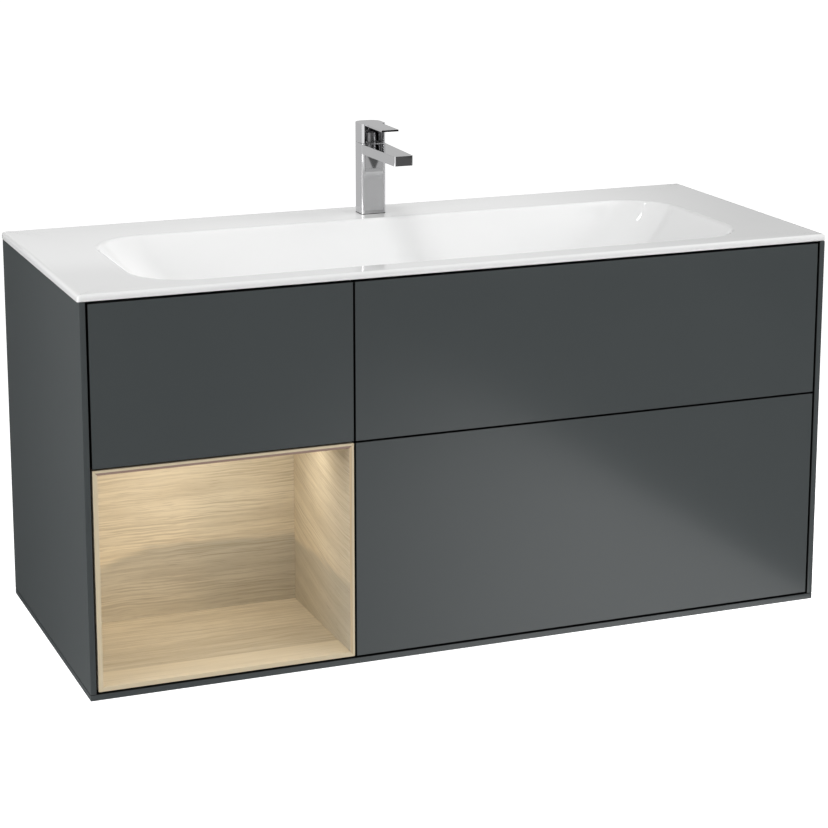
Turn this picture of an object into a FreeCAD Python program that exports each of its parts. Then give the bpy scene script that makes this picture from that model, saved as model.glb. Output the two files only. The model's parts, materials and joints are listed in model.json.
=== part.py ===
import FreeCAD, Part
import math
import os

from FreeCAD import Vector

# Wall-hung vanity unit in millimetres. X runs to the right, Y to the back, Z up.
# The origin lies on the wall plane, on the centre line, at the underside.

# Outer shell of the cabinet
cabinet_width = 1196.0
cabinet_depth = 498.0
cabinet_height = 591.0
side_cover_thickness = 9.5
base_cover_thickness = 9.5

# Fronts and the dark reveals around them
front_thickness = 18.0
front_gap = 3.0
column_line_x = -189.5
row_line_z = 346.4

# Inner carcass
board_thickness = 16.0
carrier_thickness = 8.0
rear_rail_thickness = 16.0
upper_rail_height = 86.0
lower_rail_height = 80.0
stretcher_height = 24.0
partition_drop = 12.0

# Open niche, lined on five sides
niche_lining = 7.0
niche_depth = 258.0
niche_partition_gap = 0.5

# Light in the niche ceiling and its driver behind the niche
light_setback = 127.0
light_width = 16.0
light_height = 8.0
light_wall = 1.2
light_end_gap = 1.0
diffuser_thickness = 1.5
driver_length = 150.0
driver_depth = 22.0
driver_height = 36.0
driver_lift = 60.0
gland_radius = 6.0
gland_length = 12.0

# Washbasin
basin_side_overhang = 2.0
basin_front_overhang = 2.0
basin_edge = 11.0
basin_corner_radius = 5.0
basin_edge_round = 3.0
bowl_end_margin = 111.0
bowl_back_margin = 118.0
bowl_front_margin = 48.0
bowl_depth = 90.0
bowl_end_run = 110.0
bowl_back_run = 75.0
bowl_front_run = 30.0
bowl_rim_corner = 85.0
bowl_floor_corner = 55.0
bowl_rim_flare = 8.0
bowl_rim_drop = 6.0
bowl_wall = 10.0
bowl_floor_thickness = 12.0
bowl_slope_share = 0.55
bowl_steps = 5
cutter_overrun = 1.0

# Waste in the bowl and the trap under it
waste_from_wall = 300.0
waste_hole_radius = 23.0
waste_flange_radius = 32.0
waste_flange_thickness = 2.0
waste_tube_radius = 21.0
waste_bore_radius = 17.0
waste_tube_length = 70.0
waste_hub_radius = 9.0
waste_hub_height = 14.0
waste_arm_width = 4.0
waste_arm_count = 3
waste_seal_radius = 34.0
waste_seal_thickness = 3.0
waste_nut_radius = 33.0
waste_nut_height = 10.0
plug_radius = 30.0
plug_thickness = 5.0
plug_dome = 2.0
plug_stem_radius = 5.0
plug_stem_length = 32.0
trap_radius = 35.0
trap_height = 78.0
trap_wall = 3.0
trap_neck_height = 12.0
trap_collar_radius = 26.0
trap_collar_depth = 13.0
trap_outlet_drop = 25.0
outlet_boss_radius = 20.0
outlet_boss_length = 15.0
outlet_tube_radius = 16.0
outlet_stub_step = 0.5
outlet_tube_wall = 1.5

# Tap
tap_from_wall = 57.0
tap_hole_radius = 17.5
tap_size = 43.0
tap_front_corner = 6.5
tap_rear_corner = 17.0
tap_seal_thickness = 1.0
tap_column_height = 116.0
spout_tip_width = 32.0
spout_root_width = 42.4
spout_height = 16.0
spout_top_step = 1.0
spout_reach = 155.0
spout_channel_radius = 4.0
aerator_setback = 14.0
aerator_radius = 10.0
aerator_height = 7.0
aerator_wall = 2.0
cartridge_radius = 17.0
cartridge_height = 28.0
cartridge_nut_height = 10.0
spindle_radius = 11.5
spindle_height = 28.0
spindle_dome = 3.0
spindle_stem_radius = 5.0
spindle_stem_length = 10.0
lever_joint_gap = 0.5
lever_height = 31.5
lever_plate_width = 29.0
lever_plate_thickness = 3.0
lever_reach = 95.0
lever_hollow_half_width = 12.2
lever_arch_cover = 5.5
lever_rear_wall = 3.5
lever_pivot_setback = 11.0
lever_pivot_rise = 5.5
lever_lift_angle = 20.0
lever_relief_margin = 3.0
lever_pin_radius = 2.0
lever_pin_cover = 2.5
lever_lug_radius = 4.0
lever_lug_width = 18.0
shank_radius = 14.0
shank_engagement = 18.0
shank_drop = 55.0
inlet_radius = 4.2
inlet_depth = 25.0
inlet_offset = 6.5
clamp_washer_radius = 24.0
clamp_washer_thickness = 3.0
clamp_nut_radius = 20.5
clamp_nut_height = 10.0

# Drawer boxes
drawer_side_thickness = 14.0
drawer_back_thickness = 12.0
drawer_bottom_thickness = 12.0
drawer_bottom_lift = 4.0
drawer_floor_clearance = 5.0
drawer_top_clearance = 20.0
lower_box_height = 210.0
trap_notch_half_width = 70.0
trap_notch_front_clearance = 18.0
trap_surround_wall = 8.0

# Runners: a fixed rail and a middle member, tongue in groove
rail_thickness = 6.0
rail_height = 40.0
rail_front_gap = 4.0
rail_end_gap = 2.0
middle_web = 3.0
middle_height = 34.0
middle_front_gap = 4.0
tongue_height = 12.0
groove_depth = 3.2
runner_lift = 24.0

# Push latches behind the drawers
push_travel = 3.0
push_clearance = 1.0
latch_length = 40.0
latch_width = 26.0
latch_height = 20.0
latch_drop = 25.0
plunger_radius = 4.0
plunger_proud = 4.0
plunger_length = 24.0

# Hanging hardware
hanger_inset = 60.0
hanger_width = 60.0
hanger_steel = 3.0
hanger_drop = 48.0
hanger_trough_play = 0.5
hanger_lip_height = 12.0
hanger_tongue_height = 17.0
hanger_hook_gap = 1.0
bracket_below = 13.0
bracket_above = 9.0
wall_plate_below = 28.0
wall_plate_above = 42.0
wall_hole_radius = 2.75
wall_hole_margin = 7.0
hanger_screw_radius = 2.0
hanger_screw_length = 15.0
hanger_screw_head_radius = 4.0
hanger_screw_head_height = 2.5
hanger_screw_margin = 4.5

# Clearances
play = 0.3
running_clearance = 0.05

# Planes worked out from the sizes above
half_width = cabinet_width / 2
front_y = -cabinet_depth
front_back_y = front_y + front_thickness
carcass_front_y = front_back_y + push_travel + push_clearance
hanger_recess = 2 * hanger_trough_play + 4 * hanger_steel + hanger_hook_gap
rail_back_y = -hanger_recess
rail_front_y = rail_back_y - rear_rail_thickness
cover_inner_x = half_width - side_cover_thickness
side_face_x = cover_inner_x - board_thickness
front_edge_x = cover_inner_x - front_gap
column_left_x = column_line_x - front_gap / 2
column_right_x = column_line_x + front_gap / 2
partition_left_x = column_left_x + niche_partition_gap
partition_right_x = partition_left_x + board_thickness
row_low_z = row_line_z - front_gap / 2
row_high_z = row_line_z + front_gap / 2
lower_front_z = base_cover_thickness + front_gap
upper_front_z = cabinet_height - front_gap
inner_floor_z = base_cover_thickness + board_thickness
carrier_top_z = row_low_z + carrier_thickness
basin_half_width = half_width + basin_side_overhang
basin_front_y = front_y - basin_front_overhang
basin_top_z = cabinet_height + basin_edge
bowl_floor_z = basin_top_z - bowl_depth
bowl_under_z = bowl_floor_z - bowl_floor_thickness
niche_back_y = front_y + niche_depth
waste_y = -waste_from_wall
tap_y = -tap_from_wall
latch_front_y = rail_front_y - latch_length
plunger_tip_y = latch_front_y - plunger_proud
drawer_rear_y = plunger_tip_y - push_travel - play
upper_box_z = carrier_top_z + drawer_floor_clearance
upper_box_top_z = bowl_under_z - drawer_top_clearance
lower_box_z = inner_floor_z + drawer_floor_clearance
lower_box_top_z = lower_box_z + lower_box_height
trap_notch_front_y = waste_y - trap_radius - trap_notch_front_clearance
trap_seat_z = bowl_floor_z - waste_tube_length
trap_top_z = trap_seat_z - trap_neck_height
outlet_z = trap_top_z - trap_outlet_drop
tap_base_z = basin_top_z + tap_seal_thickness
column_top_z = tap_base_z + tap_column_height
lever_low_z = column_top_z + lever_joint_gap
lever_top_z = lever_low_z + lever_height
lever_pivot = Vector(0, tap_y + lever_pivot_setback, lever_low_z + lever_pivot_rise)
hook_z = cabinet_height - hanger_drop

X_AXIS = Vector(1, 0, 0)
Y_AXIS = Vector(0, 1, 0)
Z_AXIS = Vector(0, 0, 1)


def box(x_low, x_high, y_low, y_high, z_low, z_high):
    return Part.makeBox(x_high - x_low, y_high - y_low, z_high - z_low, Vector(x_low, y_low, z_low))


def rod(radius, start, length, axis):
    return Part.makeCylinder(radius, length, start, axis)


def tube(outer_radius, inner_radius, start, length, axis):
    return rod(outer_radius, start, length, axis).cut(rod(inner_radius, start, length, axis))


def prism(points, sweep):
    """Solid from a closed outline of corner points, swept along a vector."""
    outline = Part.makePolygon(points + points[:1])
    return Part.Face(outline).extrude(sweep)


def hexagon(radius, centre, height):
    turns = [math.radians(60 * side) for side in range(6)]
    points = [centre + Vector(radius * math.cos(t), radius * math.sin(t), 0) for t in turns]
    return prism(points, Vector(0, 0, height))


def rounded_outline(x_low, x_high, y_low, y_high, radius, z):
    """Rectangle with round corners, as four lines and four quarter arcs."""
    corners = [(x_high, y_high), (x_low, y_high), (x_low, y_low), (x_high, y_low)]
    arcs = []
    for turn, (x, y) in enumerate(corners):
        centre = Vector(x - math.copysign(radius, x - (x_low + x_high) / 2),
                        y - math.copysign(radius, y - (y_low + y_high) / 2), z)
        ends = [(turn + step) * math.pi / 2 for step in (0, 0.5, 1)]
        points = [centre + Vector(radius * math.cos(t), radius * math.sin(t), 0) for t in ends]
        arcs.append(Part.Arc(*points).toShape())
    edges = []
    for here, after in zip(arcs, arcs[1:] + arcs[:1]):
        edges += [here, Part.makeLine(here.Vertexes[-1].Point, after.Vertexes[0].Point)]
    return Part.Wire(edges)


def rounded_block(x_low, x_high, y_low, y_high, radius, z_low, z_high):
    outline = rounded_outline(x_low, x_high, y_low, y_high, radius, z_low)
    return Part.Face(outline).extrude(Vector(0, 0, z_high - z_low))


def turned(profile, x, y):
    """Solid of revolution about an upright axis, from (radius, z) points."""
    points = [Vector(x + radius, y, z) for radius, z in profile]
    face = Part.Face(Part.makePolygon(points + points[:1]))
    return face.revolve(Vector(x, y, 0), Z_AXIS, 360)


def save(name, *solids):
    shape = solids[0] if len(solids) == 1 else Part.makeCompound(list(solids))
    shape.exportStep("parts/" + name + ".step")


def carcass():
    """Cover panels outside, boards and rails inside."""
    cover_z = base_cover_thickness
    save("left_cover_panel", box(-half_width, -cover_inner_x, front_y, 0, cover_z, cabinet_height))
    save("right_cover_panel", box(cover_inner_x, half_width, front_y, 0, cover_z, cabinet_height))
    save("base_cover_panel", box(-half_width, half_width, front_y, 0, 0, cover_z))
    save("left_inner_side", box(-cover_inner_x, -side_face_x, carcass_front_y, rail_front_y,
                                carrier_top_z, cabinet_height))
    save("right_inner_side", box(side_face_x, cover_inner_x, carcass_front_y, rail_front_y,
                                 inner_floor_z, cabinet_height))
    save("inner_bottom_board", box(partition_left_x, cover_inner_x, carcass_front_y, rail_front_y,
                                   cover_z, inner_floor_z))
    save("centre_partition", box(partition_left_x, partition_right_x, carcass_front_y, rail_front_y,
                                 inner_floor_z, bowl_under_z - partition_drop))
    save("niche_carrier_board", box(-cover_inner_x, partition_left_x, carcass_front_y, rail_front_y,
                                    row_low_z, carrier_top_z))
    save("front_stretcher", box(partition_right_x, side_face_x, carcass_front_y,
                                carcass_front_y + board_thickness,
                                carrier_top_z - stretcher_height, carrier_top_z))
    upper_rail = box(-cover_inner_x, cover_inner_x, rail_front_y, rail_back_y,
                     cabinet_height - upper_rail_height, cabinet_height)
    save("rear_upper_rail", upper_rail.cut(hanger_screw_holes()))
    save("rear_lower_rail", box(-cover_inner_x, cover_inner_x, rail_front_y, rail_back_y,
                                cover_z, cover_z + lower_rail_height))


def niche():
    """Mitred lining of the open niche: four panels around and one behind."""
    x_out = (-front_edge_x, column_left_x)
    z_out = (lower_front_z, row_low_z)
    x_in = (x_out[0] + niche_lining, x_out[1] - niche_lining)
    z_in = (z_out[0] + niche_lining, z_out[1] - niche_lining)
    corners_out = [(x_out[0], z_out[0]), (x_out[1], z_out[0]), (x_out[1], z_out[1]), (x_out[0], z_out[1])]
    corners_in = [(x_in[0], z_in[0]), (x_in[1], z_in[0]), (x_in[1], z_in[1]), (x_in[0], z_in[1])]
    for side, name in enumerate(("floor", "right", "top", "left")):
        after = (side + 1) % 4
        ring = [corners_out[side], corners_out[after], corners_in[after], corners_in[side]]
        points = [Vector(x, front_y, z) for x, z in ring]
        save("niche_" + name + "_panel", prism(points, Vector(0, niche_depth, 0)))
    save("niche_back_panel", box(-cover_inner_x, x_out[1], niche_back_y, niche_back_y + niche_lining,
                                 base_cover_thickness, z_out[1]))
    niche_light(x_in, z_in[1])
    light_driver(x_out)


def niche_light(x_in, ceiling_z):
    """Channel open to below under the niche ceiling, closed by a diffuser."""
    x_low = x_in[0] + light_end_gap
    x_high = x_in[1] - light_end_gap
    middle_y = front_y + light_setback
    low_z = ceiling_z - light_height
    channel = box(x_low, x_high, middle_y - light_width / 2, middle_y + light_width / 2, low_z, ceiling_z)
    half_inside = light_width / 2 - light_wall
    inside = (x_low, x_high, middle_y - half_inside, middle_y + half_inside)
    save("led_channel", channel.cut(box(*inside, low_z, ceiling_z - light_wall)))
    save("led_diffuser", box(*inside, low_z, low_z + diffuser_thickness))


def light_driver(x_out):
    """Driver on the back of the niche, with the gland that takes its lead."""
    middle_x = sum(x_out) / 2
    back_y = niche_back_y + niche_lining
    low_z = lower_front_z + driver_lift
    case = box(middle_x - driver_length / 2, middle_x + driver_length / 2,
               back_y, back_y + driver_depth, low_z, low_z + driver_height)
    gland_start = Vector(middle_x + driver_length / 2, back_y + driver_depth / 2, low_z + driver_height / 2)
    save("led_driver", case.fuse(rod(gland_radius, gland_start, gland_length, X_AXIS)))


def bowl_inset(share):
    """How much of its full run the bowl wall has come in at a share of the depth."""
    round_part = 1 - math.sqrt(1 - share * share)
    return bowl_slope_share * share + (1 - bowl_slope_share) * round_part


def bowl_outline(share, grow, z):
    """Level outline of the bowl, larger than the inside by grow."""
    inset = bowl_inset(share)
    half_length = basin_half_width - bowl_end_margin - bowl_end_run * inset + grow
    back = -bowl_back_margin - bowl_back_run * inset + grow
    front = basin_front_y + bowl_front_margin + bowl_front_run * inset - grow
    corner = bowl_rim_corner + (bowl_floor_corner - bowl_rim_corner) * share + grow
    return rounded_outline(-half_length, half_length, front, back, corner, z)


def basin():
    """Thin slab with a lofted bowl, a soft rim, the tap hole and the waste hole."""
    slab = rounded_block(-basin_half_width, basin_half_width, basin_front_y, 0,
                         basin_corner_radius, cabinet_height, basin_top_z)
    top_edges = [e for e in slab.Edges if all(abs(v.Z - basin_top_z) < play for v in e.Vertexes)]
    slab = slab.makeFillet(basin_edge_round, top_edges)
    shares = [step / bowl_steps for step in range(bowl_steps + 1)]
    hollow_depth = bowl_depth - bowl_rim_drop
    inside = [bowl_outline(0, bowl_rim_flare, basin_top_z + cutter_overrun),
              bowl_outline(0, bowl_rim_flare, basin_top_z),
              bowl_outline(0, bowl_rim_flare / 3, basin_top_z - bowl_rim_drop / 3)]
    inside += [bowl_outline(s, 0, basin_top_z - bowl_rim_drop - s * hollow_depth) for s in shares]
    under_top_z = basin_top_z - bowl_rim_drop - bowl_floor_thickness
    outside = [bowl_outline(0, bowl_wall, cabinet_height + basin_edge / 2)]
    outside += [bowl_outline(s, bowl_wall, under_top_z - s * hollow_depth) for s in shares]
    shell = slab.fuse(Part.makeLoft(outside, True, True)).cut(Part.makeLoft(inside, True, True))
    waste_hole = rod(waste_hole_radius, Vector(0, waste_y, bowl_under_z), bowl_floor_thickness, Z_AXIS)
    tap_hole = rod(tap_hole_radius, Vector(0, tap_y, cabinet_height), basin_edge, Z_AXIS)
    save("basin", shell.cut(waste_hole).cut(tap_hole).removeSplitter())


def waste():
    """Waste fitting through the bowl floor, and its plug that lifts on a stem."""
    flange_top_z = bowl_floor_z + waste_flange_thickness
    body = turned([(waste_bore_radius, flange_top_z), (waste_flange_radius, flange_top_z),
                   (waste_flange_radius, bowl_floor_z), (waste_tube_radius, bowl_floor_z),
                   (waste_tube_radius, trap_seat_z), (waste_bore_radius, trap_seat_z)], 0, waste_y)
    hub_top_z = bowl_under_z
    hub_low_z = hub_top_z - waste_hub_height
    body = body.fuse(rod(waste_hub_radius, Vector(0, waste_y, hub_low_z), waste_hub_height, Z_AXIS))
    arm = box(0, (waste_bore_radius + waste_tube_radius) / 2, waste_y - waste_arm_width / 2,
              waste_y + waste_arm_width / 2, hub_low_z, hub_top_z)
    for turn in range(waste_arm_count):
        spoke = arm.copy()
        spoke.rotate(Vector(0, waste_y, 0), Z_AXIS, turn * 360 / waste_arm_count)
        body = body.fuse(spoke)
    guide = rod(plug_stem_radius + running_clearance, Vector(0, waste_y, hub_low_z), waste_hub_height, Z_AXIS)
    save("basin_waste_body", body.cut(guide).removeSplitter())

    seal_low_z = bowl_under_z - waste_seal_thickness
    nut_low_z = seal_low_z - waste_nut_height
    bore = waste_tube_radius + running_clearance
    save("waste_seal", tube(waste_seal_radius, bore, Vector(0, waste_y, seal_low_z),
                            waste_seal_thickness, Z_AXIS))
    nut = hexagon(waste_nut_radius, Vector(0, waste_y, nut_low_z), waste_nut_height)
    save("waste_nut", nut.cut(rod(bore, Vector(0, waste_y, nut_low_z), waste_nut_height, Z_AXIS)))

    cap_low_z = flange_top_z + play
    cap_top_z = cap_low_z + plug_thickness
    stem_low_z = cap_low_z - plug_stem_length
    save("waste_plug", turned([(0, stem_low_z), (plug_stem_radius, stem_low_z),
                               (plug_stem_radius, cap_low_z), (plug_radius, cap_low_z),
                               (plug_radius, cap_top_z - plug_dome),
                               (plug_radius - plug_dome, cap_top_z), (0, cap_top_z)], 0, waste_y))


def trap():
    """Bottle trap on the waste, and the outlet tube to the wall."""
    collar_top_z = trap_seat_z + trap_collar_depth
    low_z = trap_top_z - trap_height
    collar_bore = waste_tube_radius + play
    outside = turned([(0, low_z), (trap_radius, low_z), (trap_radius, trap_top_z),
                      (trap_collar_radius, trap_seat_z), (trap_collar_radius, collar_top_z),
                      (0, collar_top_z)], 0, waste_y)
    boss_end_y = waste_y + trap_radius + outlet_boss_length
    boss_start = Vector(0, waste_y, outlet_z)
    outside = outside.fuse(rod(outlet_boss_radius, boss_start, boss_end_y - waste_y, Y_AXIS))
    cavity_radius = trap_radius - trap_wall
    hollow = turned([(0, low_z + trap_wall), (cavity_radius, low_z + trap_wall),
                     (cavity_radius, trap_top_z - trap_wall), (waste_bore_radius, trap_top_z - trap_wall),
                     (waste_bore_radius, trap_seat_z), (collar_bore, trap_seat_z),
                     (collar_bore, collar_top_z), (0, collar_top_z)], 0, waste_y)
    seat_y = waste_y + trap_radius
    stub_radius = outlet_tube_radius - outlet_stub_step
    inner_radius = outlet_tube_radius - outlet_stub_step - outlet_tube_wall
    hollow = hollow.fuse(rod(inner_radius, boss_start, seat_y - waste_y, Y_AXIS))
    socket = rod(outlet_tube_radius, Vector(0, seat_y, outlet_z), boss_end_y - seat_y, Y_AXIS)
    save("trap_body", outside.cut(hollow).cut(socket).removeSplitter())

    shoulder_y = boss_end_y + play
    pipe = rod(stub_radius, Vector(0, seat_y, outlet_z), shoulder_y - seat_y, Y_AXIS)
    pipe = pipe.fuse(rod(outlet_tube_radius, Vector(0, shoulder_y, outlet_z), -shoulder_y, Y_AXIS))
    save("trap_outlet_tube", pipe.cut(rod(inner_radius, Vector(0, seat_y, outlet_z), -seat_y, Y_AXIS)))


def tap_section(z_low, z_high):
    """Upright block with close corners in front and wide ones behind."""
    half = tap_size / 2
    front, back = tap_y - half, tap_y + half
    square = rounded_block(-half, half, front, back, tap_front_corner, z_low, z_high)
    return square.common(rounded_block(-half, half, front - tap_rear_corner, back, tap_rear_corner, z_low, z_high))


def tap():
    """Column with its spout, and what fixes it through the basin."""
    cartridge_seat_z = column_top_z - cartridge_height - cartridge_nut_height
    spout_top_z = column_top_z - spout_top_step
    spout_low_z = spout_top_z - spout_height
    tip_y = tap_y - spout_reach
    aerator_y = tip_y + aerator_setback
    channel_z = spout_low_z + aerator_height
    tip, root = spout_tip_width / 2, spout_root_width / 2
    spout = prism([Vector(-tip, tip_y, spout_low_z), Vector(tip, tip_y, spout_low_z),
                   Vector(root, tap_y, spout_low_z), Vector(-root, tap_y, spout_low_z)],
                  Vector(0, 0, spout_height))
    body = tap_section(tap_base_z, column_top_z).fuse(spout)
    body = body.cut(rod(cartridge_radius, Vector(0, tap_y, cartridge_seat_z),
                        column_top_z - cartridge_seat_z, Z_AXIS))
    body = body.cut(rod(shank_radius + running_clearance, Vector(0, tap_y, tap_base_z),
                        shank_engagement, Z_AXIS))
    body = body.cut(rod(aerator_radius, Vector(0, aerator_y, spout_low_z), aerator_height, Z_AXIS))
    channel_start = Vector(0, aerator_y, channel_z)
    body = body.cut(rod(spout_channel_radius, channel_start, tap_y - aerator_y, Y_AXIS))
    save("tap_body", body.removeSplitter())

    seal = tap_section(basin_top_z, tap_base_z)
    save("tap_base_seal", seal.cut(rod(shank_radius + play, Vector(0, tap_y, basin_top_z),
                                       tap_seal_thickness, Z_AXIS)))
    low_z = cabinet_height - shank_drop
    shank = rod(shank_radius, Vector(0, tap_y, low_z), tap_base_z + shank_engagement - low_z, Z_AXIS)
    for side in (-1, 1):
        shank = shank.cut(rod(inlet_radius, Vector(side * inlet_offset, tap_y, low_z), inlet_depth, Z_AXIS))
    save("tap_shank", shank)
    washer_z = cabinet_height - clamp_washer_thickness
    save("tap_clamp_washer", tube(clamp_washer_radius, shank_radius + play, Vector(0, tap_y, washer_z),
                                  clamp_washer_thickness, Z_AXIS))
    nut_z = washer_z - clamp_nut_height
    nut = hexagon(clamp_nut_radius, Vector(0, tap_y, nut_z), clamp_nut_height)
    thread = rod(shank_radius + running_clearance, Vector(0, tap_y, nut_z), clamp_nut_height, Z_AXIS)
    save("tap_clamp_nut", nut.cut(thread))
    rim = tube(aerator_radius - running_clearance, aerator_radius - aerator_wall,
               Vector(0, aerator_y, spout_low_z), aerator_height, Z_AXIS)
    screen = rod(aerator_radius - aerator_wall, Vector(0, aerator_y, spout_low_z + aerator_wall),
                 aerator_wall, Z_AXIS)
    save("aerator", rim.fuse(screen).removeSplitter())
    tap_valve(cartridge_seat_z)


def tap_valve(seat_z):
    """Cartridge in the column head, its nut, and the spindle that the lever turns."""
    inside = cartridge_radius - running_clearance
    top_z = seat_z + cartridge_height
    stem_hole_depth = spindle_stem_length + play
    cartridge = rod(inside, Vector(0, tap_y, seat_z), cartridge_height, Z_AXIS)
    stem_hole = rod(spindle_stem_radius + running_clearance, Vector(0, tap_y, top_z - stem_hole_depth),
                    stem_hole_depth, Z_AXIS)
    save("cartridge", cartridge.cut(stem_hole))
    save("cartridge_nut", tube(inside, spindle_radius + play, Vector(0, tap_y, top_z),
                               cartridge_nut_height, Z_AXIS))
    low_z = top_z + play
    high_z = low_z + spindle_height
    stem_z = top_z - spindle_stem_length
    spindle = turned([(0, stem_z), (spindle_stem_radius, stem_z), (spindle_stem_radius, low_z),
                      (spindle_radius, low_z), (spindle_radius, high_z - spindle_dome),
                      (spindle_radius - spindle_dome, high_z), (0, high_z)], 0, tap_y)
    lug_start = Vector(-lever_lug_width / 2, lever_pivot.y, lever_pivot.z)
    lug = rod(lever_lug_radius, lug_start, lever_lug_width, X_AXIS)
    lug = lug.fuse(box(-lever_lug_width / 2, lever_lug_width / 2, tap_y, lever_pivot.y,
                       lever_pivot.z - lever_lug_radius, lever_pivot.z + lever_lug_radius))
    pin_hole = rod(lever_pin_radius + running_clearance, lug_start, lever_lug_width, X_AXIS)
    save("cartridge_spindle", spindle.fuse(lug).cut(pin_hole).removeSplitter())


def tap_lever():
    """Hood over the column head with the lever plate in front, hollow below an arch."""
    half = tap_size / 2
    hood = tap_section(lever_low_z, lever_top_z)
    plate = box(-lever_plate_width / 2, lever_plate_width / 2, tap_y - lever_reach, tap_y,
                lever_top_z - lever_plate_thickness, lever_top_z)
    arch_z = lever_top_z - lever_arch_cover - lever_hollow_half_width
    front = tap_y - half
    back = tap_y + half - lever_rear_wall
    hollow = box(-lever_hollow_half_width, lever_hollow_half_width, front, back, lever_low_z, arch_z)
    hollow = hollow.fuse(rod(lever_hollow_half_width, Vector(0, front, arch_z), back - front, Y_AXIS))
    behind = half - lever_pivot_setback
    rise = behind * math.tan(math.radians(lever_lift_angle + lever_relief_margin))
    heel = prism([Vector(-half, lever_pivot.y, lever_low_z), Vector(-half, tap_y + half, lever_low_z),
                  Vector(-half, tap_y + half, lever_low_z + rise)], Vector(tap_size, 0, 0))
    pin_half = half - lever_pin_cover
    pin = rod(lever_pin_radius, Vector(-pin_half, lever_pivot.y, lever_pivot.z), 2 * pin_half, X_AXIS)
    save("tap_lever", hood.fuse(plate).cut(hollow).cut(heel).cut(pin).removeSplitter())
    save("lever_pin", pin)


def hanger_screw_places():
    """Where each hanger bracket is screwed to the rear rail."""
    heights = (hook_z - bracket_below + hanger_screw_margin,
               hook_z + hanger_tongue_height + hanger_steel + bracket_above - hanger_screw_margin)
    middle = side_face_x - hanger_inset
    return [Vector(side * middle, rail_back_y + hanger_steel, z) for side in (-1, 1) for z in heights]


def hanger_screw_holes():
    radius = hanger_screw_radius + running_clearance
    length = hanger_screw_length + hanger_steel
    holes = [rod(radius, place, length, -Y_AXIS) for place in hanger_screw_places()]
    return Part.makeCompound(holes)


def hangers():
    """Hook brackets on the rear rail, held in the troughs of two wall plates."""
    middle = side_face_x - hanger_inset
    lip_y = -2 * hanger_steel - 2 * hanger_trough_play
    tongue_y = -hanger_steel - hanger_trough_play
    bracket_back_y = rail_back_y + hanger_steel
    arm_z = hook_z + hanger_tongue_height
    brackets = []
    plates = []
    for side in (-1, 1):
        x = (side * middle - hanger_width / 2, side * middle + hanger_width / 2)
        plate = box(*x, -hanger_steel, 0, hook_z - wall_plate_below, hook_z + wall_plate_above)
        foot = box(*x, lip_y - hanger_steel, -hanger_steel, hook_z - hanger_steel, hook_z)
        lip = box(*x, lip_y - hanger_steel, lip_y, hook_z, hook_z + hanger_lip_height)
        plate = plate.fuse([foot, lip]).removeSplitter()
        for z in (hook_z - wall_plate_below + wall_hole_margin, hook_z + wall_plate_above - wall_hole_margin):
            plate = plate.cut(rod(wall_hole_radius, Vector(side * middle, -hanger_steel, z),
                                  hanger_steel, Y_AXIS))
        plates.append(plate)
        bracket = box(*x, rail_back_y, bracket_back_y, hook_z - bracket_below,
                      arm_z + hanger_steel + bracket_above)
        arm = box(*x, bracket_back_y, tongue_y, arm_z, arm_z + hanger_steel)
        tongue = box(*x, tongue_y - hanger_steel, tongue_y, hook_z, arm_z)
        brackets.append(bracket.fuse([arm, tongue]).cut(hanger_screw_holes()).removeSplitter())
    save("wall_plates", *plates)
    save("hanger_brackets", *brackets)
    screws = []
    for place in hanger_screw_places():
        shank = rod(hanger_screw_radius, place, hanger_screw_length, -Y_AXIS)
        head = rod(hanger_screw_head_radius, place, hanger_screw_head_height, Y_AXIS)
        screws.append(shank.fuse(head).removeSplitter())
    save("hanger_screws", *screws)


def runner_layers():
    """Distances of each runner layer from the carcass face, going inwards."""
    middle_near = rail_thickness + play
    middle_far = middle_near + middle_web
    return middle_near, middle_far, middle_far + play


def facing(face_x, inward, near, far, y_low, y_high, z_low, z_high):
    """Box between two distances from a carcass face."""
    ends = sorted((face_x + inward * near, face_x + inward * far))
    return box(*ends, y_low, y_high, z_low, z_high)


def runner_pair(faces, box_z):
    """Fixed rails and middle members for one drawer, left then right."""
    middle_near, middle_far, side_near = runner_layers()
    centre_z = box_z + runner_lift
    rail_y = (carcass_front_y + rail_front_gap, latch_front_y - rail_end_gap)
    middle_y = (carcass_front_y + middle_front_gap, drawer_rear_y)
    groove_half = tongue_height / 2 + play
    rails = []
    middles = []
    for face_x, inward in zip(faces, (1, -1)):
        rail = facing(face_x, inward, 0, rail_thickness, *rail_y,
                      centre_z - rail_height / 2, centre_z + rail_height / 2)
        rails.append(rail.cut(facing(face_x, inward, rail_thickness - groove_depth, rail_thickness,
                                     *rail_y, centre_z - groove_half, centre_z + groove_half)))
        web = facing(face_x, inward, middle_near, middle_far, *middle_y,
                     centre_z - middle_height / 2, centre_z + middle_height / 2)
        tongue = facing(face_x, inward, rail_thickness - groove_depth + play,
                        side_near + groove_depth - play, *middle_y,
                        centre_z - tongue_height / 2, centre_z + tongue_height / 2)
        middles.append(web.fuse(tongue).removeSplitter())
    return rails, middles


def drawer_sides(faces, box_z, box_top_z):
    """Two sides, each grooved on its outer face for the runner."""
    near = runner_layers()[2]
    centre_z = box_z + runner_lift
    groove_half = tongue_height / 2 + play
    sides = []
    for face_x, inward in zip(faces, (1, -1)):
        side = facing(face_x, inward, near, near + drawer_side_thickness,
                      front_back_y, drawer_rear_y, box_z, box_top_z)
        sides.append(side.cut(facing(face_x, inward, near, near + groove_depth, front_back_y,
                                     drawer_rear_y, centre_z - groove_half, centre_z + groove_half)))
    return sides


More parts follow.
